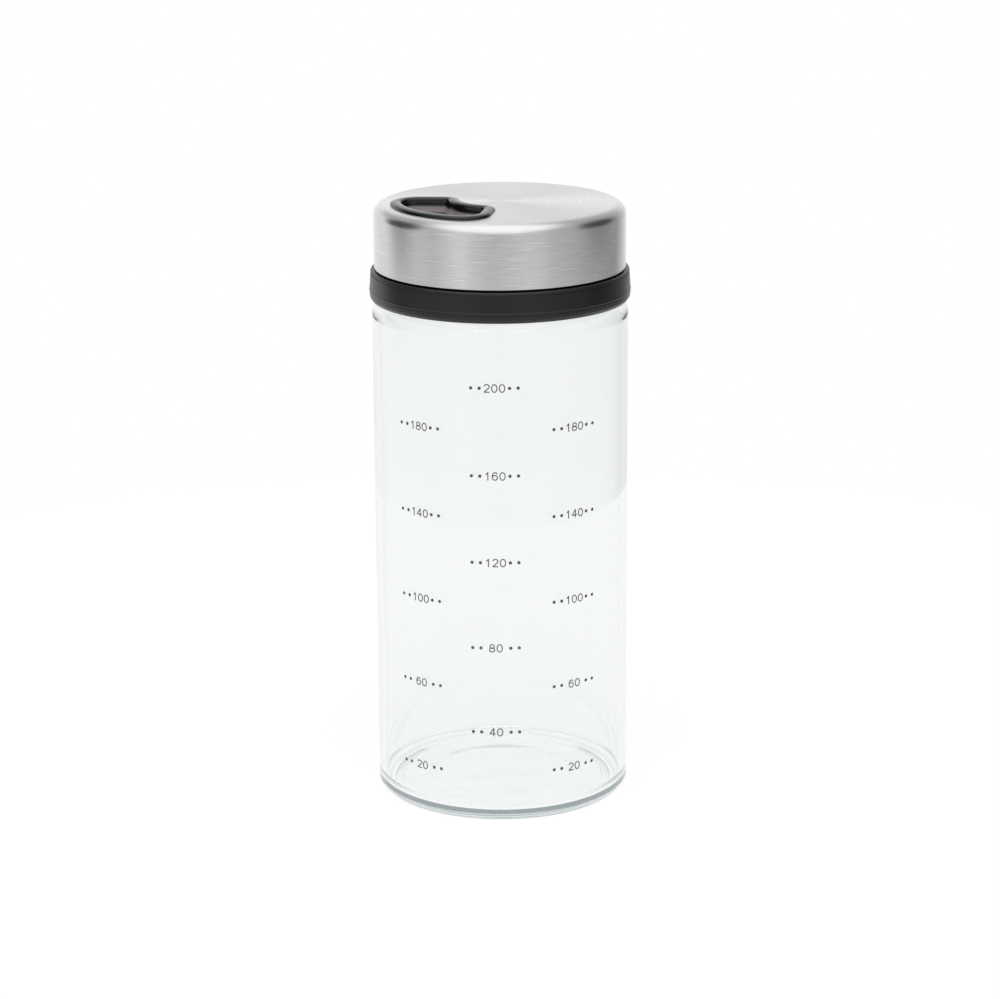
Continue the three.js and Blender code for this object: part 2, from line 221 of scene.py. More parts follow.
def rounded(corners, closed=False):
    """An outline from (radius, height, rounding) corners; a rounding of 0 keeps the corner."""
    points = []
    last = len(corners) - 1
    for i, (radius, height, rounding) in enumerate(corners):
        if rounding == 0 or (not closed and i in (0, last)):
            points.append(np.array((radius, height), float))
        else:
            after = corners[(i + 1) % len(corners)]
            points.extend(fillet(corners[i - 1][:2], (radius, height), after[:2], rounding))
    return points


def ellipse_arc(centre, across, up, start, end, steps=2 * CORNER_STEPS):
    """Points on an ellipse's arc, both ends included."""
    angles = np.radians(np.linspace(start, end, steps + 1))
    return [np.array((centre[0] + across * math.cos(a), centre[1] + up * math.sin(a))) for a in angles]


def rows_between(low, high, step=THREAD_ROW):
    """Heights from low to high, close enough together to carry a thread."""
    return np.linspace(low, high, max(2, round(abs(high - low) / step)))


# Meshes

def lathe(profile, shift=None, closed=False):
    """Turns (radius, height) points about Z. shift gives what to add to a radius at an angle."""
    profile = np.array(profile, float)
    angles = np.linspace(0, 2 * math.pi, ROUND_STEPS, endpoint=False)
    vertices = []
    rings = []
    for radius, height in profile:
        if radius == 0:
            rings.append(np.full(ROUND_STEPS, len(vertices)))
            vertices.append((0, 0, height))
            continue
        reach = radius + (shift(radius, height, angles) if shift else np.zeros(ROUND_STEPS))
        rings.append(np.arange(ROUND_STEPS) + len(vertices))
        level = np.full(ROUND_STEPS, height)
        vertices.extend(zip(reach * np.cos(angles), reach * np.sin(angles), level))
    if closed:
        rings.append(rings[0])
    faces = []
    for low, high in zip(rings, rings[1:]):
        quads = np.stack((low, np.roll(low, -1), np.roll(high, -1), high), axis=1)
        faces.extend(list(dict.fromkeys(quad)) for quad in quads.tolist())
    return vertices, faces


def loops_mesh(loops):
    """Skins a closed run of loops with the same number of points; the last joins the first."""
    count = len(loops[0])
    vertices = [point for loop in loops for point in loop]
    faces = []
    for row in range(len(loops)):
        here = row * count
        above = (row + 1) % len(loops) * count
        for i in range(count):
            after = (i + 1) % count
            faces.append((here + i, here + after, above + after, above + i))
    return vertices, faces


def add_mesh(name, vertices, faces):
    """An object with its mesh, its faces pointing out and smooth up to SHARP_ANGLE."""
    mesh = bpy.data.meshes.new(name)
    mesh.from_pydata((np.array(vertices, float) * MM).tolist(), [], faces)
    piece = bpy.data.objects.new(name, mesh)
    bpy.context.scene.collection.objects.link(piece)
    if signed_volume(mesh) < 0:
        mesh.flip_normals()
    smooth(mesh)
    return piece


def signed_volume(mesh):
    mesh.calc_loop_triangles()
    corners = [[mesh.vertices[i].co for i in triangle.vertices] for triangle in mesh.loop_triangles]
    a, b, c = np.array(corners, float).transpose(1, 0, 2)
    return np.einsum("ij,ij->", a, np.cross(b, c))


def smooth(mesh):
    mesh.polygons.foreach_set("use_smooth", [True] * len(mesh.polygons))
    mesh.set_sharp_from_angle(angle=math.radians(SHARP_ANGLE))


def finish_piece(piece, material, body, node=None):
    """Gives a piece its material and its body, and hides the CAD node that it stands for."""
    piece.data.materials.clear()
    piece.data.materials.append(material)
    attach(piece, body)
    if node:
        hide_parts(node)


# Materials

def linear(colour):
    """A colour written as an sRGB hex value, as the linear RGBA that a socket takes."""
    channels = [int(colour[i:i + 2], 16) / 255 for i in (1, 3, 5)]
    return tuple(c / 12.92 if c <= 0.04045 else ((c + 0.055) / 1.055) ** 2.4 for c in channels) + (1.0,)


def add_node(tree, kind, *values, sockets=None, **settings):
    """Adds a node. The values fill the inputs in use, in order, and sockets gives others by name.
    A value is a number, a vector, a hex colour, a socket, or a node for its first output in use."""
    made = tree.nodes.new("ShaderNode" + kind)
    for name, setting in settings.items():
        setattr(made, name, setting)
    feeds = list(zip([socket for socket in made.inputs if socket.enabled], values))
    feeds += [(made.inputs[name], value) for name, value in (sockets or {}).items()]
    for socket, value in feeds:
        if isinstance(value, bpy.types.Node):
            value = next(output for output in value.outputs if output.enabled)
        if isinstance(value, bpy.types.NodeSocket):
            tree.links.new(value, socket)
        else:
            socket.default_value = linear(value) if isinstance(value, str) else value
    return made


def new_material(name):
    """An empty node material, with its tree and the places of its points in their own space."""
    material = bpy.data.materials.new(name)
    material.use_nodes = True
    tree = material.node_tree
    tree.nodes.clear()
    return material, tree, add_node(tree, "TexCoord").outputs["Object"]


def cells(size):
    """The scale of a pattern whose cells measure size in millimetres."""
    return 1 / (size * MM)


# Nearly every value of a noise lies between these two
NOISE_SPREAD = (0.3, 0.7)
# How many layers, each finer than the last, a noise is made of
SMOOTH_LAYERS = 1.0
FLOW_LAYERS = 1.5
SOFT_LAYERS = 2.0
FINE_LAYERS = 3.0

# Fire-polished soda-lime glass: colourless across its wall, faintly grey-green where the
# sight line runs along it, with the slow waves that a press mould leaves. Light that has
# turned back inside the wall more often than TRAPPED_DEPTH goes straight out, as it does in
# the end, a little greyer for its long way, which draws the heel's fine grey lines.
GLASS_COLOUR = "#fafbfb"
GLASS_TINT = "#e3eaeb"
GLASS_CLEAR = "#fbfcfc"
GLASS_TRAPPED = "#dadedf"
GLASS_ABSORPTION = 12.0
GLASS_IOR = 1.52
TRAPPED_DEPTH = 2.5
GLASS_WAVE_SIZE = 16
GLASS_WAVE_DEPTH = 0.05


def pressed_glass():
    material, tree, place = new_material("soda_lime_glass_pressed")
    wave = add_node(tree, "TexNoise", place, cells(GLASS_WAVE_SIZE), SMOOTH_LAYERS)
    glass = add_node(tree, "BsdfPrincipled", GLASS_COLOUR, sockets={
        "Roughness": 0.0, "IOR": GLASS_IOR, "Transmission Weight": 1.0,
        "Normal": add_node(tree, "Bump", sockets={"Height": wave, "Distance": GLASS_WAVE_DEPTH * MM}),
    })
    light_path = add_node(tree, "LightPath").outputs
    trapped = add_node(tree, "Math", light_path["Glossy Depth"], TRAPPED_DEPTH, operation="GREATER_THAN")
    passing = add_node(tree, "Math", light_path["Is Shadow Ray"], trapped, operation="MAXIMUM")
    shade = add_node(tree, "Mix", trapped, GLASS_CLEAR, GLASS_TRAPPED, data_type="RGBA")
    clear = add_node(tree, "BsdfTransparent", shade)
    surface = add_node(tree, "MixShader", passing, glass, clear)
    inside = add_node(tree, "VolumeAbsorption", GLASS_TINT, GLASS_ABSORPTION)
    add_node(tree, "OutputMaterial", surface, inside)
    return material


# Stainless steel, brushed round the axis: long fine grooves that draw every reflection out
# across them, so the wall shows upright bands and the top shows a fan of light and shade.
# The real grooves are finer than the render shows, so they are drawn a little coarser.
STEEL_LIGHT = "#dedcdc"
STEEL_DARK = "#d6d4d4"
STEEL_SCRATCH = "#f1efef"
STEEL_ROUGHNESS = (0.23, 0.27)
STEEL_ANISOTROPY = 0.85
QUARTER_TURN = 0.25
GROOVE_LENGTH = 4
GROOVE_WIDTH = 0.15
GROOVE_DEPTH = 0.0007
STREAK_LENGTH = 7
STREAK_WIDTH = 0.22
STREAK_SPREAD = (0.6, 0.74)


def groove_place(tree, place, length, width):
    """Places counted in cells, which are long round the axis and narrow across the grooves."""
    x, y, z = add_node(tree, "SeparateXYZ", place).outputs
    reach = add_node(tree, "VectorMath", add_node(tree, "CombineXYZ", x, y), operation="LENGTH")
    across = add_node(tree, "Math", reach, z, operation="SUBTRACT")
    sizes = ((x, length), (y, length), (across, width))
    return add_node(tree, "CombineXYZ", *[
        add_node(tree, "Math", value, cells(size), operation="MULTIPLY") for value, size in sizes
    ])


def brushed_steel():
    material, tree, place = new_material("stainless_steel_brushed")
    grooves, streaks = (
        add_node(tree, "TexNoise", groove_place(tree, place, length, width), 1.0, layers)
        for length, width, layers in (
            (GROOVE_LENGTH, GROOVE_WIDTH, FINE_LAYERS), (STREAK_LENGTH, STREAK_WIDTH, SOFT_LAYERS))
    )
    dark = add_node(tree, "MapRange", grooves, *NOISE_SPREAD, interpolation_type="SMOOTHSTEP")
    brushed = add_node(tree, "Mix", dark, STEEL_DARK, STEEL_LIGHT, data_type="RGBA")
    scratch = add_node(tree, "MapRange", streaks, *STREAK_SPREAD, interpolation_type="SMOOTHSTEP")
    rough = add_node(
        tree, "MapRange", grooves, *NOISE_SPREAD, *STEEL_ROUGHNESS, interpolation_type="SMOOTHSTEP")
    steel = add_node(tree, "BsdfPrincipled", sockets={
        "Base Color": add_node(tree, "Mix", scratch, brushed, STEEL_SCRATCH, data_type="RGBA"),
        "Metallic": 1.0, "Roughness": rough,
        "Anisotropic": STEEL_ANISOTROPY, "Anisotropic Rotation": QUARTER_TURN,
        "Tangent": add_node(tree, "Tangent", direction_type="RADIAL", axis="Z"),
        "Normal": add_node(tree, "Bump", sockets={"Height": grooves, "Distance": GROOVE_DEPTH * MM}),
    })
    add_node(tree, "OutputMaterial", steel)
    return material


# Moulded polypropylene with a fine satin grain: a soft grey sheen on a near-black body
SATIN_BLACK = "#070708"
SATIN_GREY = "#0c0c0e"
SATIN_ROUGHNESS = (0.3, 0.38)
SATIN_CLOUD = 12
SATIN_GRAIN = 0.35
SATIN_GRAIN_DEPTH = 0.006
POLYPROPYLENE_IOR = 1.49


def satin_plastic():
    material, tree, place = new_material("polypropylene_satin_black")
    grain = add_node(tree, "TexNoise", place, cells(SATIN_GRAIN), FINE_LAYERS)
    cloud = add_node(tree, "TexNoise", place, cells(SATIN_CLOUD), SOFT_LAYERS)
    rough = add_node(
        tree, "MapRange", cloud, *NOISE_SPREAD, *SATIN_ROUGHNESS, interpolation_type="SMOOTHSTEP")
    plastic = add_node(tree, "BsdfPrincipled", sockets={
        "Base Color": add_node(tree, "Mix", cloud, SATIN_BLACK, SATIN_GREY, data_type="RGBA"),
        "Roughness": rough, "IOR": POLYPROPYLENE_IOR,
        "Normal": add_node(tree, "Bump", sockets={"Height": grain, "Distance": SATIN_GRAIN_DEPTH * MM}),
    })
    add_node(tree, "OutputMaterial", plastic)
    return material


# Polypropylene from a polished mould: deep black with sharp reflections and faint flow waves
GLOSS_BLACK = "#08080a"
GLOSS_GREY = "#0e0e11"
GLOSS_ROUGHNESS = (0.08, 0.14)
FLOW_WAVE = 5
FLOW_WAVE_DEPTH = 0.01
# The floor inside the window is painted grey, mottled: painted light, standing in for the bright studio
# light that this black floor catches and reflects
FLOOR_PAINTED_LIGHT_DARK = "#5c5757"
FLOOR_PAINTED_LIGHT_PALE = "#777070"
FLOOR_PAINTED_LIGHT_MOTTLE = 0.6
WINDOW_FLOOR_ROUGHNESS = 0.4


def gloss_plastic(painted_light_below=None):
    """The one argument gives the height in millimetres under which the plastic is painted grey: painted
    light on the window's floor.
    """
    kind = "black" if painted_light_below is None else "black_painted_light_floor"
    material, tree, place = new_material(f"polypropylene_gloss_{kind}")
    flow = add_node(tree, "TexNoise", place, cells(FLOW_WAVE), FLOW_LAYERS)
    colour = add_node(tree, "Mix", flow, GLOSS_BLACK, GLOSS_GREY, data_type="RGBA")
    rough = add_node(
        tree, "MapRange", flow, *NOISE_SPREAD, *GLOSS_ROUGHNESS, interpolation_type="SMOOTHSTEP")
    if painted_light_below is not None:
        # Under that height the colour is painted light: a mottled grey standing in for the studio light
        # that the window's floor reflects
        height = add_node(tree, "SeparateXYZ", place).outputs["Z"]
        low, high = ((painted_light_below + edge) * MM for edge in (-MOULD_EDGE, 0))
        painted_light_share = add_node(tree, "MapRange", height, low, high, 1, 0, interpolation_type="SMOOTHSTEP")
        grain = add_node(tree, "TexNoise", place, cells(FLOOR_PAINTED_LIGHT_MOTTLE), SOFT_LAYERS)
        painted_floor_light = add_node(tree, "Mix", grain, FLOOR_PAINTED_LIGHT_DARK, FLOOR_PAINTED_LIGHT_PALE, data_type="RGBA")
        colour = add_node(tree, "Mix", painted_light_share, colour, painted_floor_light, data_type="RGBA")
        rough = add_node(tree, "MapRange", painted_light_share, 0, 1, rough, WINDOW_FLOOR_ROUGHNESS)
    plastic = add_node(tree, "BsdfPrincipled", sockets={
        "Base Color": colour, "Roughness": rough, "IOR": POLYPROPYLENE_IOR,
        "Normal": add_node(tree, "Bump", sockets={"Height": flow, "Distance": FLOW_WAVE_DEPTH * MM}),
    })
    add_node(tree, "OutputMaterial", plastic)
    return material


# Translucent white food silicone: milky, with a dull skin
SILICONE_LIGHT = "#e6e6e3"
SILICONE_DARK = "#d6d6d2"
SILICONE_ROUGHNESS = 0.55
SILICONE_IOR = 1.41
SILICONE_MILK_SHARE = 0.3
SILICONE_MILK_DEPTH = 1.5
SILICONE_CLOUD = 4
SILICONE_SKIN = 0.4
SILICONE_SKIN_DEPTH = 0.008


def food_silicone():
    material, tree, place = new_material("silicone_milky_white")
    cloud, skin = (
        add_node(tree, "TexNoise", place, cells(size), SOFT_LAYERS)
        for size in (SILICONE_CLOUD, SILICONE_SKIN)
    )
    silicone = add_node(tree, "BsdfPrincipled", sockets={
        "Base Color": add_node(tree, "Mix", cloud, SILICONE_DARK, SILICONE_LIGHT, data_type="RGBA"),
        "Roughness": SILICONE_ROUGHNESS, "IOR": SILICONE_IOR,
        "Subsurface Weight": SILICONE_MILK_SHARE, "Subsurface Scale": SILICONE_MILK_DEPTH * MM,
        "Normal": add_node(tree, "Bump", sockets={"Height": skin, "Distance": SILICONE_SKIN_DEPTH * MM}),
    })
    add_node(tree, "OutputMaterial", silicone)
    return material


# Fired ceramic enamel, screen printed: dark grey, nearly dull, uneven where the ink is thin
ENAMEL_DARK = "#3c3d40"
ENAMEL_THIN = "#57585b"
ENAMEL_ROUGHNESS = 0.5
ENAMEL_IOR = 1.55
INK_MOTTLE = 0.5
INK_MOTTLE_DEPTH = 0.004
INK_SPREAD = (0.35, 0.7)


def printed_enamel():
    material, tree, place = new_material("enamel_print_dark_grey")
    mottle = add_node(tree, "TexNoise", place, cells(INK_MOTTLE), SOFT_LAYERS)
    thin = add_node(tree, "MapRange", mottle, *INK_SPREAD, interpolation_type="SMOOTHSTEP")
    enamel = add_node(tree, "BsdfPrincipled", sockets={
        "Base Color": add_node(tree, "Mix", thin, ENAMEL_DARK, ENAMEL_THIN, data_type="RGBA"),
        "Roughness": ENAMEL_ROUGHNESS, "IOR": ENAMEL_IOR,
        "Normal": add_node(tree, "Bump", sockets={"Height": mottle, "Distance": INK_MOTTLE_DEPTH * MM}),
    })
    add_node(tree, "OutputMaterial", enamel)
    return material


# Thread ridges

def thread_shift(wall_radius, foot, turn_share, lead_in_share, inward):
    """What a thread adds to the radius of the wall that carries it."""
    def shift(radius, height, angles):
        if abs(radius - wall_radius) > TINY:
            return np.zeros(len(angles))
        ridge = np.zeros(len(angles))
        for start in range(THREAD_STARTS):
            turn = (angles / (2 * math.pi) - start / THREAD_STARTS - lead_in_share) % 1
            centre = foot + (turn + lead_in_share) * THREAD_LEAD
            flank = np.clip((THREAD_HALF_WIDTH - abs(height - centre)) / THREAD_FLANK, 0, 1)
            fade = np.clip(np.minimum(turn, turn_share - turn) / THREAD_FADE_SHARE, 0, 1)
            ridge = np.maximum(ridge, flank * flank * (3 - 2 * flank) * fade)
        return ridge * (-THREAD_DEPTH if inward else THREAD_DEPTH)
    return shift


# Pieces of the jar and the cap

neck_radius = BODY_RADIUS - SHOULDER_WIDTH
neck_bore = neck_radius - NECK_WALL
neck_top = jar_high.z
thread_foot = BODY_HEIGHT + THREAD_RISE
cap_bore = neck_radius + THREAD_DEPTH + THREAD_GAP
cap_radius = cap_bore + CAP_WALL
flange_top = cap_low.z + FLANGE_THICKNESS


def heel_steps():
    """Angles and reaches round the heel's curve, with the two fine seams of the mould's base."""
    degrees = set(np.linspace(-90, 0, 2 * CORNER_STEPS + 1))
    for seam in HEEL_SEAM_ANGLES:
        edges = (seam - HEEL_SEAM_HALF_WIDTH, seam + HEEL_SEAM_HALF_WIDTH)
        degrees.update(np.linspace(*edges, CORNER_STEPS + 1))
    for degree in sorted(degrees):
        nearest = min(abs(degree - seam) for seam in HEEL_SEAM_ANGLES)
        ridge = max(0, 1 - nearest / HEEL_SEAM_HALF_WIDTH)
        yield math.radians(degree), HEEL_RADIUS + HEEL_SEAM * math.sin(ridge * math.pi / 2) ** 2


def glass_profile():
    foot_radius = BODY_RADIUS - HEEL_RADIUS
    foot_bore = foot_radius - FOOT_RING_WIDTH
    body_bore = BODY_RADIUS - GLASS_WALL
    bore_top = BODY_HEIGHT - SHOULDER_GLASS
    punt = PUSH_UP_DEPTH + PUNT_RISE
    under = rounded([
        (0, punt, 0),
        (PUNT_RADIUS, punt, PUNT_RADIUS / 2),
        (PUNT_RADIUS + PUNT_SLOPE_WIDTH, PUSH_UP_DEPTH, PUNT_SLOPE_WIDTH / 2),
        (foot_bore - PUSH_UP_SLOPE_WIDTH, PUSH_UP_DEPTH, PUSH_UP_SLOPE_WIDTH / 2),
        (foot_bore, 0, FOOT_RING_ROUNDING),
        (foot_radius, 0, 0),
    ])
    heel = [
        (foot_radius + reach * math.cos(angle), HEEL_RADIUS + reach * math.sin(angle))
        for angle, reach in heel_steps()
    ]
    shoulder = ellipse_arc(
        (neck_radius, BODY_HEIGHT - SHOULDER_WIDTH), SHOULDER_WIDTH, SHOULDER_WIDTH,
        0, SHOULDER_END_ANGLE)
    neck_foot = fillet(
        shoulder[-1], (neck_radius, BODY_HEIGHT), (neck_radius, neck_top), NECK_FOOT_ROUNDING)
    rim_foot = neck_top - RIM_ROUNDING
    neck = [(neck_radius, z) for z in rows_between(neck_foot[-1][1], rim_foot)]
    rim = [
        *ellipse_arc((neck_radius - RIM_ROUNDING, rim_foot), RIM_ROUNDING, RIM_ROUNDING, 0, 90),
        *ellipse_arc((neck_bore + RIM_ROUNDING, rim_foot), RIM_ROUNDING, RIM_ROUNDING, 90, 180),
    ]
    inner_shoulder = ellipse_arc(
        (neck_bore, bore_top - INNER_SHOULDER_RISE), body_bore - neck_bore, INNER_SHOULDER_RISE,
        INNER_SHOULDER_END_ANGLE, 0)
    throat = fillet(
        (neck_bore, neck_top), (neck_bore, bore_top), inner_shoulder[0], NECK_FOOT_ROUNDING / 2)
    inner_heel = ellipse_arc(
        (body_bore - INNER_HEEL_RADIUS, FLOOR_THICKNESS + INNER_HEEL_RADIUS),
        INNER_HEEL_RADIUS, INNER_HEEL_RADIUS, 0, -90)
    floor = [
        (share * inner_heel[-1][0], FLOOR_THICKNESS + FLOOR_CROWN * (1 - share))
        for share in np.linspace(1, 0, 4 * CORNER_STEPS)
    ]
    return [
        *under[:-1], *heel, *shoulder, *neck_foot, *neck[1:], *rim[1:], *throat,
        *inner_shoulder, *inner_heel, *floor[1:],
    ]


def rippled(vertices):
    """The jar's points with the slow waves that the plunger leaves in the inner floor."""
    points = np.array(vertices, float)
    x, y, z = points.T
    reach = np.hypot(x, y)
    edge = BODY_RADIUS - GLASS_WALL - INNER_HEEL_RADIUS
    above_push_up = z > PUSH_UP_DEPTH + PUNT_RISE + TINY
    under_bore = z < FLOOR_THICKNESS + FLOOR_CROWN + TINY
    on_floor = above_push_up & under_bore & (reach < edge)
    fade = np.clip((edge - reach) / INNER_HEEL_RADIUS, 0, 1)
    wave = np.sin(2 * math.pi * (y + FLOOR_RIPPLE_SLANT_SHARE * x) / FLOOR_RIPPLE_LENGTH)
    drift = np.sin(2 * math.pi * (x - FLOOR_DRIFT_SLANT_SHARE * y) / FLOOR_DRIFT_LENGTH)
    points[:, 2] += np.where(on_floor, FLOOR_RIPPLE * fade * wave * drift, 0)
    return points


def glass_jar(material):
    shift = thread_shift(neck_radius, thread_foot, NECK_THREAD_TURN_SHARE, 0, inward=False)
    vertices, faces = lathe(glass_profile(), shift)
    piece = add_mesh("glass_body", rippled(vertices), faces)
    finish_piece(piece, material, "jar", "glass_jar")


def gasket(material):
    outer = cap_bore - THREAD_GAP
    bore = neck_bore + GASKET_INSET
    foot = seal_low.z + GASKET_FACE_GAP
    top = seal_high.z - GASKET_FACE_GAP
    corners = [
        (bore, foot, GASKET_ROUNDING), (outer, foot, GASKET_ROUNDING),
        (outer, top, GASKET_ROUNDING), (bore, top, GASKET_ROUNDING),
    ]
    piece = add_mesh("neck_seal_ring", *lathe(rounded(corners, closed=True), closed=True))
    finish_piece(piece, material, "seal", "neck_gasket")


def screw_cap(material):
    ledge_foot = cap_high.z - LEDGE_THICKNESS
    ledge_bore = neck_bore - GASKET_INSET
    flange_radius = cap_high.x
    outside = rounded([
        (cap_bore, cap_low.z, 0),
        (flange_radius, cap_low.z, MOULD_EDGE),
        (flange_radius, flange_top, MOULD_EDGE),
        (cap_radius, flange_top, MOULD_EDGE),
        (cap_radius, cap_high.z, MOULD_EDGE),
        (ledge_bore, cap_high.z, MOULD_EDGE),
        (ledge_bore, ledge_foot, MOULD_EDGE),
        (cap_bore, ledge_foot, 0),
    ])
    wall = [(cap_bore, z) for z in rows_between(ledge_foot, cap_low.z)]
    half_pitch = THREAD_LEAD / THREAD_STARTS / 2
    shift = thread_shift(
        cap_bore, thread_foot - half_pitch, CAP_THREAD_TURN_SHARE, CAP_THREAD_LEAD_IN_SHARE, inward=True)
    piece = add_mesh("screw_cap_shell", *lathe([*outside[:-1], *wall[:-1]], shift, closed=True))
    finish_piece(piece, material, "cap", "screw_cap")


def grip_band(material):
    """The band's wall: a rounded lip over a fine groove, a fine ridge and a heel drawn in."""
    foot = band_low.z
    top = band_high.z
    outer = band_high.x
    bore = BODY_RADIUS - BAND_WALL_INSET
    lip_bore = cap_radius + THREAD_GAP
    face = outer - BAND_RIDGE
    top_face = outer - BAND_DRAFT
    ridge = foot + BAND_RIDGE_HEIGHT
    half_ridge = BAND_RIDGE_WIDTH / 2
    groove = top - BAND_GROOVE_DROP
    half_groove = BAND_GROOVE_HEIGHT / 2
    corners = [
        (bore, foot, MOULD_EDGE),
        (outer - BAND_HEEL_WIDTH, foot, MOULD_EDGE),
        (face - BAND_RIDGE, foot + BAND_HEEL_HEIGHT / 2, BAND_HEEL_ROUNDING),
        (face, foot + BAND_HEEL_HEIGHT, BAND_RIDGE_WIDTH),
        (face, ridge - half_ridge, BAND_RIDGE),
        (outer, ridge, BAND_RIDGE),
        (face, ridge + half_ridge, BAND_RIDGE),
        (top_face, groove - half_groove, BAND_GROOVE_ROUNDING),
        (top_face - BAND_GROOVE_DEPTH, groove - half_groove, BAND_GROOVE_ROUNDING),
        (top_face - BAND_GROOVE_DEPTH, groove + half_groove, BAND_GROOVE_ROUNDING),
        (top_face, groove + half_groove, BAND_GROOVE_ROUNDING),
        (top_face, top, BAND_EDGE_ROUNDING),
        (lip_bore, top, MOULD_EDGE),
        (lip_bore, top - BAND_LIP_THICKNESS, 0),
        (bore, top - BAND_LIP_THICKNESS, 0),
    ]
    piece = add_mesh("grip_ring", *lathe(rounded(corners, closed=True), closed=True))
    finish_piece(piece, material, "cap", "grip_band")


# Pieces of the cover

steel_edge = STEEL_RADIUS - STEEL_EDGE_RADIUS
window_outer_radius = STEEL_RADIUS - WINDOW_INSET
window_turn = Matrix.Rotation(math.radians(WINDOW_AZIMUTH - 90), 3, "Z")


def steel_top_at(radius):
    """The height of the steel's outer face, which is slightly crowned."""
    return steel_high.z - STEEL_CROWN * (radius / steel_edge) ** 2


def sector_outline(outer, inner, outside, outer_fillet, inner_fillet):
    """A rounded sector with its middle along +X. Its sides run a distance outside the rays
    at the window's half angle."""
    half = math.radians(WINDOW_HALF_ANGLE)
    square = WINDOW_HALF_ANGLE + 90

    def corner(reach, fillet_radius):
        aside = outside - fillet_radius
        along = math.sqrt(reach ** 2 - aside ** 2)
        return (along * math.cos(half) - aside * math.sin(half),
                along * math.sin(half) + aside * math.cos(half))

    outer_corner = corner(outer - outer_fillet, outer_fillet)
    inner_corner = corner(inner + inner_fillet, inner_fillet)
    outer_end = math.degrees(math.atan2(outer_corner[1], outer_corner[0]))
    inner_end = math.degrees(math.atan2(inner_corner[1], inner_corner[0]))
    outer_round = ellipse_arc(outer_corner, outer_fillet, outer_fillet, outer_end, square, CORNER_STEPS)
    inner_round = ellipse_arc(
        inner_corner, inner_fillet, inner_fillet, square, inner_end + 180, CORNER_STEPS)
    side = np.linspace(outer_round[-1], inner_round[0], 2 * CORNER_STEPS)[1:-1]
    upper = [
        *ellipse_arc((0, 0), outer, outer, 0, outer_end, 3 * CORNER_STEPS),
        *outer_round[1:], *side, *inner_round,
        *ellipse_arc((0, 0), inner, inner, inner_end, 0, CORNER_STEPS)[1:],
    ]
    lower = [np.array((x, -y)) for x, y in upper[-2:0:-1]]
    return np.array([*upper, *lower])


def window_outline(grow):
    """The window's outline, grown outwards all round by a distance."""
    return sector_outline(
        window_outer_radius + grow, WINDOW_INNER_RADIUS - grow, grow,
        WINDOW_OUTER_FILLET + grow, WINDOW_INNER_FILLET + grow)


def pour_outline(grow):
    """The outline of the pouring opening inside the window, grown in the same way."""
    return sector_outline(
        POUR_OUTER_RADIUS + grow, POUR_INNER_RADIUS - grow, grow - POUR_SIDE_INSET,
        POUR_FILLET + grow, POUR_FILLET + grow)


def turned_loop(points, heights):
    """A loop in the part's frame, from an outline whose middle lies along +X."""
    levels = np.broadcast_to(heights, len(points))
    return [window_turn @ Vector((x, y, z)) for (x, y), z in zip(points, levels)]


def steel_profile():
    inner_edge = STEEL_EDGE_RADIUS - STEEL_THICKNESS
    edge_height = steel_top_at(steel_edge) - STEEL_EDGE_RADIUS
    bore = STEEL_RADIUS - STEEL_THICKNESS
    hem_bore = bore - STEEL_HEM_WIDTH
    hem = rounded([
        (bore, edge_height, 0),
        (bore, steel_low.z + STEEL_HEM_HEIGHT, MOULD_EDGE / 2),
        (hem_bore, steel_low.z + STEEL_HEM_HEIGHT, STEEL_HEM_ROUNDING),
        (hem_bore, steel_low.z, STEEL_HEM_ROUNDING),
        (STEEL_RADIUS, steel_low.z, STEEL_HEM_ROUNDING),
        (STEEL_RADIUS, edge_height, 0),
    ])
    reaches = np.linspace(0, steel_edge, CORNER_STEPS)
    underside = [(r, steel_top_at(r) - STEEL_THICKNESS) for r in reaches[:-1]]
    face = [(r, steel_top_at(r)) for r in reaches[::-1]]
    centre = (steel_edge, edge_height)
    return [
        *underside, *ellipse_arc(centre, inner_edge, inner_edge, 90, 0), *hem[1:-1],
        *ellipse_arc(centre, STEEL_EDGE_RADIUS, STEEL_EDGE_RADIUS, 0, 90), *face[1:],
    ]


def window_cutter():
    """A prism through the steel, in the window's outline."""
    outline = window_outline(0)
    levels = (steel_low.z, steel_high.z + STEEL_EDGE_RADIUS)
    vertices = [point for level in levels for point in turned_loop(outline, level)]
    count = len(outline)
    sides = [(i, (i + 1) % count, (i + 1) % count + count, i + count) for i in range(count)]
    ends = [tuple(range(count - 1, -1, -1)), tuple(range(count, 2 * count))]
    return add_mesh("window_cutter", vertices, sides + ends)


def steel_cover(material):
    piece = add_mesh("steel_shell", *lathe(steel_profile()))
    cutter = window_cutter()
    cut = piece.modifiers.new("window", "BOOLEAN")
    cut.operation = "DIFFERENCE"
    cut.solver = "EXACT"
    cut.object = cutter
    bpy.context.view_layer.update()
    whole = piece.evaluated_get(bpy.context.evaluated_depsgraph_get())
    mesh = bpy.data.meshes.new_from_object(whole)
    piece.modifiers.clear()
    piece.data = mesh
    bpy.data.objects.remove(cutter)
    smooth(mesh)
    finish_piece(piece, material, "cover", "steel_cover")


def spout_loop(grow, height):
    """A level loop in the outline of the pouring opening."""
    return turned_loop(pour_outline(grow), height)


def on_steel(grow, rise):
    """A loop at a set rise above the steel's face."""
    outline = window_outline(grow)
    return turned_loop(outline, [steel_top_at(math.hypot(x, y)) + rise for x, y in outline])


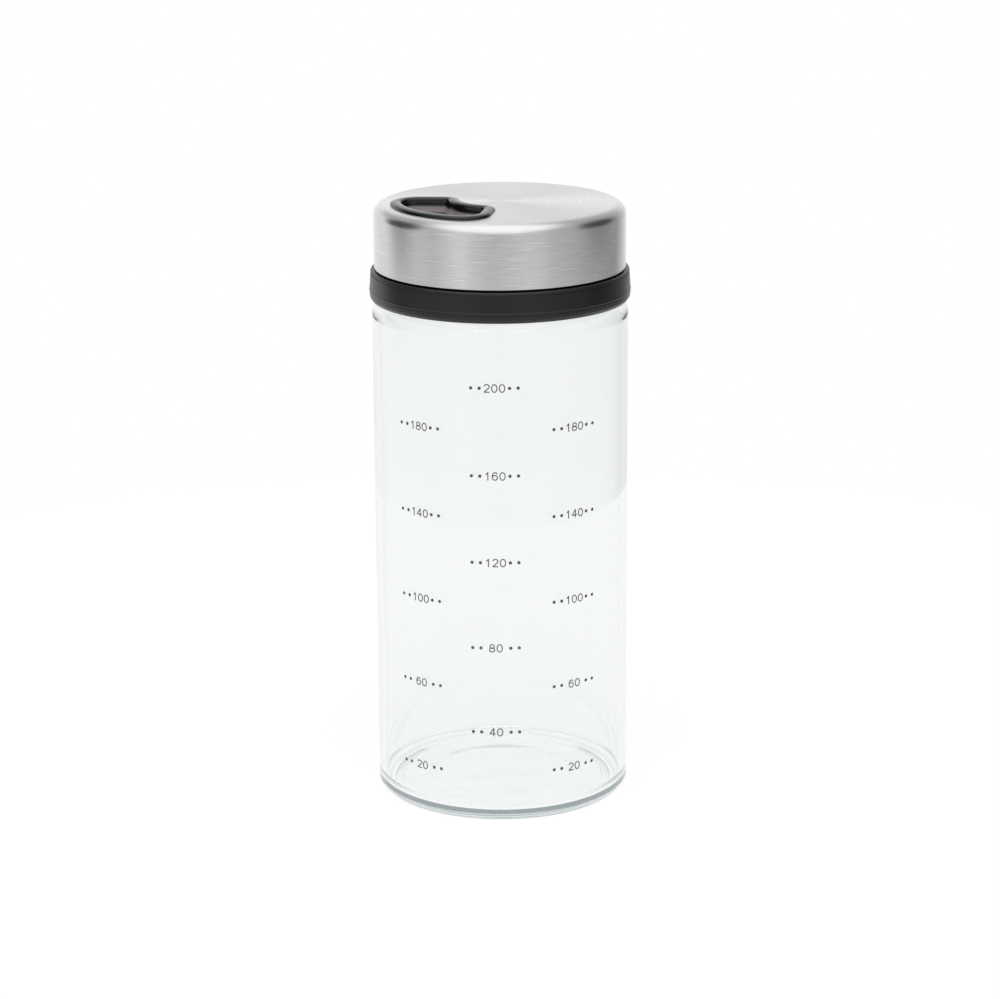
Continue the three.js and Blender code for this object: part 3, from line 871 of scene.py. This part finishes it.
def window_bezel(material):
    """The rim, the wall inside it, the sloping floor and the spout over the pouring opening."""
    rim = [
        on_steel(*point) for point in
        ellipse_arc((0, RIM_STRAIGHT), RIM_HALF_WIDTH, RIM_CROWN, 0, 180, RIM_STEPS)
    ]
    floor_grow = -RIM_HALF_WIDTH - BEZEL_DRAFT
    wall_foot = [
        on_steel(floor_grow + grow, rise - LEDGE_DROP) for grow, rise in
        ellipse_arc(
            (-LEDGE_ROUNDING, LEDGE_ROUNDING), LEDGE_ROUNDING, LEDGE_ROUNDING, 0, -90, CORNER_STEPS)
    ]
    spout_top = steel_top_at(STATION_RADIUS) - LEDGE_DROP - FUNNEL_DROP
    spout_lip = [
        spout_loop(grow, spout_top + rise) for grow, rise in
        ellipse_arc(
            (SPOUT_ROUNDING, -SPOUT_ROUNDING), SPOUT_ROUNDING, SPOUT_ROUNDING, 90, 180, CORNER_STEPS)
    ]
    outer_face = BEZEL_WALL - RIM_HALF_WIDTH
    foot = bezel_low.z
    level = [
        (-RIM_HALF_WIDTH, foot), (BEZEL_LIP_WIDTH, foot),
        (BEZEL_LIP_WIDTH, foot + BEZEL_LIP_THICKNESS), (outer_face, foot + BEZEL_LIP_THICKNESS),
    ]
    loops = [
        on_steel(RIM_HALF_WIDTH, RIM_FOOT_GAP),
        *rim,
        *wall_foot,
        *spout_lip,
        spout_loop(0, foot),
        spout_loop(SPOUT_WALL, foot),
        spout_loop(SPOUT_WALL, spout_top - FUNNEL_THICKNESS),
        on_steel(-RIM_HALF_WIDTH, -LEDGE_DROP - FUNNEL_THICKNESS),
        *[turned_loop(window_outline(grow), height) for grow, height in level],
        on_steel(outer_face, RIM_FOOT_GAP),
    ]
    piece = add_mesh("window_rim", *loops_mesh(loops))
    finish_piece(piece, material, "cover", "window_bezel")


# Printed scale

def on_glass(points, azimuth, height):
    """Wraps flat (across, up, proud) points round the glass at an azimuth and a height."""
    across, up, proud = np.array(points, float).T
    angle = math.radians(azimuth) + across / BODY_RADIUS
    reach = BODY_RADIUS + PRINT_GAP + proud
    return np.stack((reach * np.sin(angle), -reach * np.cos(angle), height + up), axis=1)


def ribbon(path, closed=False):
    """A flat band of ink along a path of (across, up) points, as (across, up, proud) points."""
    path = np.array(path, float)
    if closed:
        along = np.roll(path, -1, axis=0) - np.roll(path, 1, axis=0)
    else:
        along = np.gradient(path, axis=0)
    aside = np.stack((-along[:, 1], along[:, 0]), axis=1)
    aside *= DIGIT_STROKE / 2 / np.linalg.norm(aside, axis=1)[:, None]
    sections = [
        [(*(point + offset), 0), (*(point - offset), 0),
         (*(point - offset), PRINT_THICKNESS), (*(point + offset), PRINT_THICKNESS)]
        for point, offset in zip(path, aside)
    ]
    vertices, faces = loops_mesh(sections)
    if not closed:
        last = len(vertices) - 4
        faces = faces[:-4] + [(3, 2, 1, 0), (last, last + 1, last + 2, last + 3)]
    return vertices, faces


def bowl(across, up, half_width, half_height, start=0, end=360):
    """An elliptic stroke of a digit; its place and size are shares of the digit's."""
    closed = end - start == 360
    centre = (across * DIGIT_WIDTH, up * DIGIT_HEIGHT)
    path = ellipse_arc(
        centre, half_width * DIGIT_WIDTH, half_height * DIGIT_HEIGHT, start, end, DOT_STEPS)
    return ribbon(path[:-1] if closed else path, closed)


def stroke(*places):
    """A straight stroke between two places given as shares of a digit's width and height."""
    return ribbon([(x * DIGIT_WIDTH, y * DIGIT_HEIGHT) for x, y in places])


def digit_strokes(digit):
    """The strokes of one digit of a light, plain letter, round its own middle."""
    return {
        "0": lambda: [bowl(0, 0, 0.5, 0.5)],
        "1": lambda: [stroke((0.12, -0.56), (0.12, 0.56)), stroke((0.12, 0.48), (-0.3, 0.22))],
        "2": lambda: [
            bowl(0, 0.2, 0.48, 0.3, -30, 172), stroke((0.4, 0.06), (-0.46, -0.48)),
            stroke((-0.54, -0.5), (0.54, -0.5)),
        ],
        "4": lambda: [
            stroke((0.22, -0.56), (0.22, 0.56)), stroke((0.2, 0.5), (-0.5, -0.2)),
            stroke((-0.56, -0.23), (0.56, -0.23)),
        ],
        "6": lambda: [bowl(0, -0.18, 0.48, 0.32), bowl(0.02, 0, 0.5, 0.5, 38, 190)],
        "8": lambda: [bowl(0, 0.25, 0.4, 0.25), bowl(0, -0.23, 0.5, 0.27)],
    }[digit]()


def number_strokes(text):
    """The strokes of a number, centred, with its digits side by side."""
    for place, digit in enumerate(text):
        middle = (place - (len(text) - 1) / 2) * DIGIT_PITCH
        for vertices, faces in digit_strokes(digit):
            yield np.array(vertices) + (middle, 0, 0), faces


def dot_mesh():
    """A flat round dot of ink."""
    angles = np.linspace(0, 2 * math.pi, DOT_STEPS, endpoint=False)
    ring = [(DOT_RADIUS * math.cos(a), DOT_RADIUS * math.sin(a)) for a in angles]
    points = [(x, y, proud) for proud in (0, PRINT_THICKNESS) for x, y in ring]
    count = DOT_STEPS
    sides = [(i, (i + 1) % count, (i + 1) % count + count, i + count) for i in range(count)]
    ends = [tuple(range(count - 1, -1, -1)), tuple(range(count, 2 * count))]
    return points, sides + ends


def volume_mark(name, volume, azimuth, material):
    """One number of the scale with two dots on each side."""
    height = FIRST_MARK_HEIGHT + (volume - VOLUME_STEP) / VOLUME_STEP * MARK_STEP_HEIGHT
    parts = [(*stroke_mesh, azimuth) for stroke_mesh in number_strokes(str(volume))]
    parts += [(*dot_mesh(), azimuth + offset) for offset in DOT_AZIMUTHS]
    vertices = []
    faces = []
    for points, part_faces, middle in parts:
        faces += [tuple(i + len(vertices) for i in face) for face in part_faces]
        vertices += on_glass(points, middle, height).tolist()
    piece = add_mesh(name, vertices, faces)
    finish_piece(piece, material, "jar")


def printed_scale(material):
    for column, azimuth in MARK_COLUMNS.items():
        for volume in MIDDLE_VOLUMES if column == "middle" else SIDE_VOLUMES:
            volume_mark(f"mark_{column}_{volume}", volume, azimuth, material)


def dress_cad_node(node, material):
    """Gives a CAD node that stays visible its material."""
    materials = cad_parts[node].data.materials
    materials.clear()
    materials.append(material)


# Studio

CAMERA_DISTANCE = 661.2
CAMERA_HEIGHT = 249.2
CAMERA_ASIDE = -0.27
CAMERA_PITCH = 15.61
CAMERA_ROLL = -0.33
CAMERA_LENS = 113.1
SENSOR_WIDTH = 36
CLIP_RANGE = (50, 10000)
FLOOR_RADIUS = 260
FLOOR_STEPS = 96
FLOOR_COLOUR = "#f6f6f6"
FLOOR_GLOW_SHARE = 0.86
WHITE = "#ffffff"
LAMP_HEIGHT = 900
LAMP_FORWARD = -350
LAMP_SIZE = 700
LAMP_POWER = 4.5
# The room that gloss sees, by height and distance aside as shares, and by angles to its patches
CEILING_LEVEL = 0.52
CEILING_HEIGHT_SHARES = (0.22, 0.42)
CEILING_ASIDE_SHARES = (0.15, 0.5)
SCREEN_LEVEL = 0.06
SCREEN_AZIMUTH = 103
SCREEN_ELEVATION = 14
SCREEN_EDGE_ANGLES = (30, 14)
SOFTBOX_LEVEL = 1.4
SOFTBOX_TILT = 24
SOFTBOX_ASIDE = -3
SOFTBOX_EDGE_ANGLES = (54, 26)
GLASS_CEILING_LEVEL = 0.92
# A count of bounces under this is none
NO_BOUNCE = 0.5
# Brightness of the studio's walls by azimuth: a white backdrop behind, soft panels in front
WALL_LEVEL_SHARES = (
    (-180, 1.0), (-160, 0.94), (-140, 0.9), (-118, 0.96), (-106, 0.86), (-62, 0.6), (-46, 0.76),
    (-34, 0.84), (-22, 0.66), (-6, 0.55), (24, 0.7), (38, 0.68), (50, 0.55), (84, 0.45),
    (104, 0.56), (130, 0.34), (150, 0.68), (164, 0.88), (180, 1.0),
)


def add_camera():
    lens = bpy.data.cameras.new("camera")
    lens.sensor_width = SENSOR_WIDTH
    lens.lens = CAMERA_LENS
    lens.clip_start, lens.clip_end = (distance * MM for distance in CLIP_RANGE)
    camera = bpy.data.objects.new("camera", lens)
    bpy.context.scene.collection.objects.link(camera)
    place = Matrix.Translation(Vector((CAMERA_ASIDE, -CAMERA_DISTANCE, CAMERA_HEIGHT)) * MM)
    pitch = Matrix.Rotation(math.radians(90 - CAMERA_PITCH), 4, "X")
    roll = Matrix.Rotation(math.radians(CAMERA_ROLL), 4, "Z")
    camera.matrix_world = place @ pitch @ roll
    bpy.context.scene.camera = camera


def seen_ray(tree, first, *others):
    """1 for a ray of any of these kinds, such as Is Camera Ray."""
    light_path = add_node(tree, "LightPath").outputs
    total = light_path[first]
    for kind in others:
        total = add_node(tree, "Math", total, light_path[kind], operation="MAXIMUM")
    return total


def add_floor():
    """A plain pale floor that glows white to the eye and still takes a faint shadow."""
    material, tree, _ = new_material("floor_white")
    paint = add_node(tree, "BsdfDiffuse", FLOOR_COLOUR)
    glow = add_node(tree, "Emission", WHITE, 1.0)
    straight = seen_ray(tree, "Is Camera Ray", "Is Glossy Ray", "Is Transmission Ray")
    share = add_node(tree, "Math", straight, FLOOR_GLOW_SHARE, operation="MULTIPLY")
    add_node(tree, "OutputMaterial", add_node(tree, "MixShader", share, paint, glow))
    angles = np.linspace(0, 2 * math.pi, FLOOR_STEPS, endpoint=False)
    mesh = bpy.data.meshes.new("floor")
    ring = [(FLOOR_RADIUS * MM * math.cos(a), FLOOR_RADIUS * MM * math.sin(a), 0) for a in angles]
    mesh.from_pydata(ring, [], [tuple(range(FLOOR_STEPS))])
    mesh.materials.append(material)
    floor = bpy.data.objects.new("floor", mesh)
    bpy.context.scene.collection.objects.link(floor)
    floor.location.z = jar_low.z * MM


def grey(level):
    return (level, level, level, 1.0)


def wall_level(tree, direction):
    """The studio walls' brightness in a direction, from its azimuth."""
    x, y, _ = add_node(tree, "SeparateXYZ", direction).outputs
    back = add_node(tree, "Math", y, -1.0, operation="MULTIPLY")
    azimuth = add_node(tree, "Math", x, back, operation="ARCTAN2")
    ramp = add_node(tree, "ValToRGB", add_node(tree, "MapRange", azimuth, -math.pi, math.pi))
    stops = ramp.color_ramp.elements
    for i, (angle, level) in enumerate(WALL_LEVEL_SHARES):
        stop = stops[i] if i < len(stops) else stops.new(1.0)
        stop.position = (angle + 180) / 360
        stop.color = grey(level)
    return ramp


def ceiling_mask(tree, direction):
    """1 towards the grey ceiling, which covers both sides but not the strip between them."""
    x, _, z = add_node(tree, "SeparateXYZ", direction).outputs
    aside = add_node(tree, "Math", x, operation="ABSOLUTE")
    high = add_node(tree, "MapRange", z, *CEILING_HEIGHT_SHARES, interpolation_type="SMOOTHSTEP")
    outer = add_node(tree, "MapRange", aside, *CEILING_ASIDE_SHARES, interpolation_type="SMOOTHSTEP")
    return add_node(tree, "Math", high, outer, operation="MULTIPLY")


def round_mask(tree, direction, aim, edge_angles):
    """1 inside a round patch of the studio that lies along an aim, with a soft edge."""
    facing = add_node(tree, "VectorMath", direction, aim, operation="DOT_PRODUCT")
    edges = [math.cos(math.radians(angle)) for angle in edge_angles]
    return add_node(tree, "MapRange", facing, *edges, interpolation_type="SMOOTHSTEP")


def softbox_mask(tree, direction):
    """1 inside the round softbox overhead."""
    tilt = math.radians(SOFTBOX_TILT)
    aside = math.radians(SOFTBOX_ASIDE)
    aim = (math.sin(aside), -math.sin(tilt), math.cos(tilt))
    return round_mask(tree, direction, aim, SOFTBOX_EDGE_ANGLES)


def screen_mask(tree, direction):
    """1 inside either of the two black screens, one on each side."""
    x, y, z = add_node(tree, "SeparateXYZ", direction).outputs
    mirrored = add_node(tree, "CombineXYZ", add_node(tree, "Math", x, operation="ABSOLUTE"), y, z)
    azimuth = math.radians(SCREEN_AZIMUTH)
    elevation = math.radians(SCREEN_ELEVATION)
    level = math.cos(elevation)
    aim = (math.sin(azimuth) * level, -math.cos(azimuth) * level, math.sin(elevation))
    return round_mask(tree, mirrored, aim, SCREEN_EDGE_ANGLES)


def add_world():
    """White to the eye, nearly white through glass; gloss sees panels, screens and a softbox."""
    world = bpy.data.worlds.new("studio")
    bpy.context.scene.world = world
    world.use_nodes = True
    tree = world.node_tree
    tree.nodes.clear()
    direction = add_node(tree, "TexCoord").outputs["Generated"]
    ceiling = ceiling_mask(tree, direction)
    room = wall_level(tree, direction)
    patches = (
        (ceiling, CEILING_LEVEL),
        (screen_mask(tree, direction), SCREEN_LEVEL),
        (softbox_mask(tree, direction), SOFTBOX_LEVEL),
    )
    for patch, level in patches:
        room = add_node(tree, "Mix", patch, room, grey(level), data_type="RGBA")
    glass_room = add_node(tree, "Mix", ceiling, WHITE, grey(GLASS_CEILING_LEVEL), data_type="RGBA")
    through = seen_ray(tree, "Is Transmission Ray", "Transmission Depth")
    bounces = add_node(tree, "LightPath").outputs["Diffuse Depth"]
    straight = add_node(tree, "Math", bounces, NO_BOUNCE, operation="LESS_THAN")
    clear = add_node(tree, "Math", through, straight, operation="MULTIPLY")
    room = add_node(tree, "Mix", clear, room, glass_room, data_type="RGBA")
    seen = add_node(tree, "Mix", seen_ray(tree, "Is Camera Ray"), room, WHITE, data_type="RGBA")
    add_node(tree, "OutputWorld", add_node(tree, "Background", seen, 1.0))


def add_lamp():
    """A large soft lamp above and in front, for the shadow; gloss sees the world's softbox."""
    light = bpy.data.lights.new("softbox", "AREA")
    light.shape = "SQUARE"
    light.size = LAMP_SIZE * MM
    light.energy = LAMP_POWER
    lamp = bpy.data.objects.new("softbox", light)
    lamp.visible_glossy = False
    bpy.context.scene.collection.objects.link(lamp)
    lamp.location = Vector((0, LAMP_FORWARD, LAMP_HEIGHT)) * MM
    target = Vector((0, 0, neck_top)) * MM
    lamp.rotation_euler = (target - lamp.location).to_track_quat("-Z", "Y").to_euler()


glass = pressed_glass()
steel = brushed_steel()
satin = satin_plastic()
gloss = gloss_plastic()
silicone = food_silicone()
enamel = printed_enamel()

glass_jar(glass)
printed_scale(enamel)
gasket(silicone)
screw_cap(satin)
grip_band(satin)
steel_cover(steel)
# The bezel's floor, under the ledge, is painted grey as painted light
window_bezel(gloss_plastic(steel_high.z - LEDGE_DROP))
for hidden_node in ("shaker_disc", "cover_liner", "pivot_pin"):
    dress_cad_node(hidden_node, gloss)

add_camera()
add_floor()
add_world()
add_lamp()
bpy.context.scene.view_settings.view_transform = "Standard"
